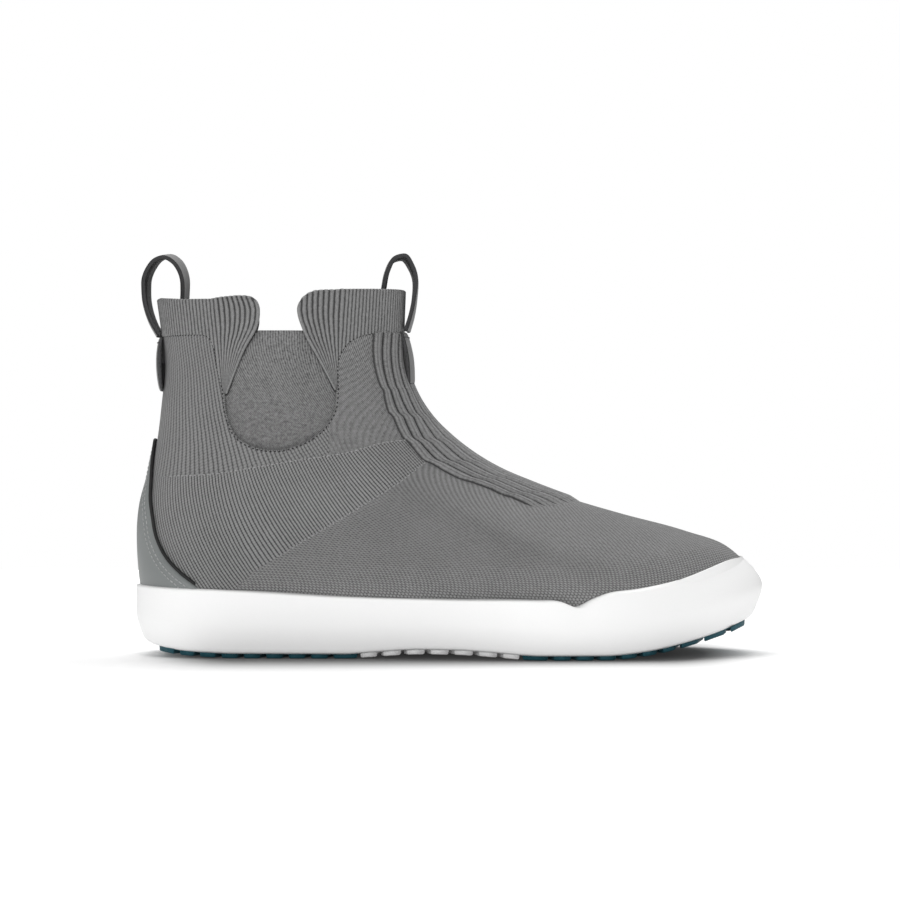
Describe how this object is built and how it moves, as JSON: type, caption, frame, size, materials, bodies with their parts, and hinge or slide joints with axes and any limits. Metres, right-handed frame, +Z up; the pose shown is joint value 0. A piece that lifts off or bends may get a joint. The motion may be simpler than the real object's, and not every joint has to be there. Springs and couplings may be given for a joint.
{
  "type": "deck boot",
  "caption": "Slip-on ankle deck boot: knit upper with elastic gores, ribbed collar, pull loops, white cupsole and grippy tread pads.",
  "frame": {"origin": "on the ground under the middle of the sole's length and width", "axes": "+X to the toe, +Y to the medial (inner) side of this right boot, +Z up"},
  "size_m": [0.298, 0.1081, 0.1909],
  "materials": {
    "grey_knit": "matte",
    "gore_knit": "matte",
    "lining_fabric": "matte",
    "membrane": "matte",
    "foam": "matte",
    "board": "matte",
    "webbing": "matte",
    "thread": "matte",
    "overlay": "satin",
    "black_trim": "matte",
    "white_rubber": "satin",
    "teal_rubber": "matte",
    "spring_steel": "satin"
  },
  "bodies": {
    "boot": {"outsole_heel_pad": "teal_rubber", "outsole_forefoot_pad": "teal_rubber", "cupsole": "white_rubber", "cushion_core": "foam", "shank": "spring_steel", "strobel_board": "board", "membrane_bootie": "membrane", "lining": "lining_fabric", "heel_counter": "board", "toe_puff": "board", "achilles_pad": "foam", "knit_upper": "grey_knit", "rear_collar_band": "grey_knit", "front_collar_band": "grey_knit", "gore_lateral": "gore_knit", "gore_medial": "gore_knit", "heel_overlay": "overlay", "heel_piping": "black_trim", "heel_stitch_outer": "thread", "heel_stitch_inner": "thread", "rear_loop_tail": "webbing", "rear_loop_stitch": "thread", "front_loop_tail": "webbing", "front_loop_stitch": "thread"},
    "insole": {"footbed": "foam"},
    "rear_loop": {"rear_pull_loop": "webbing"},
    "front_loop": {"front_pull_loop": "webbing"}
  },
  "joints": [
    {"name": "rear_loop_swing", "type": "hinge", "parent": "boot", "child": "rear_loop", "pos_m": [-0.1345, 0, 0.1515], "axis": [0, 1, 0], "range_deg": [-10, 14], "stiffness_Nm_per_rad": 0.02},
    {"name": "front_loop_swing", "type": "hinge", "parent": "boot", "child": "front_loop", "pos_m": [-0.0245, 0, 0.1525], "axis": [0, 1, 0], "range_deg": [-10, 8], "stiffness_Nm_per_rad": 0.02},
    {"name": "footbed_lift", "type": "hinge", "parent": "boot", "child": "insole", "pos_m": [0.132, 0, 0.0245], "axis": [0, 1, 0], "range_deg": [0, 8]}
  ]
}
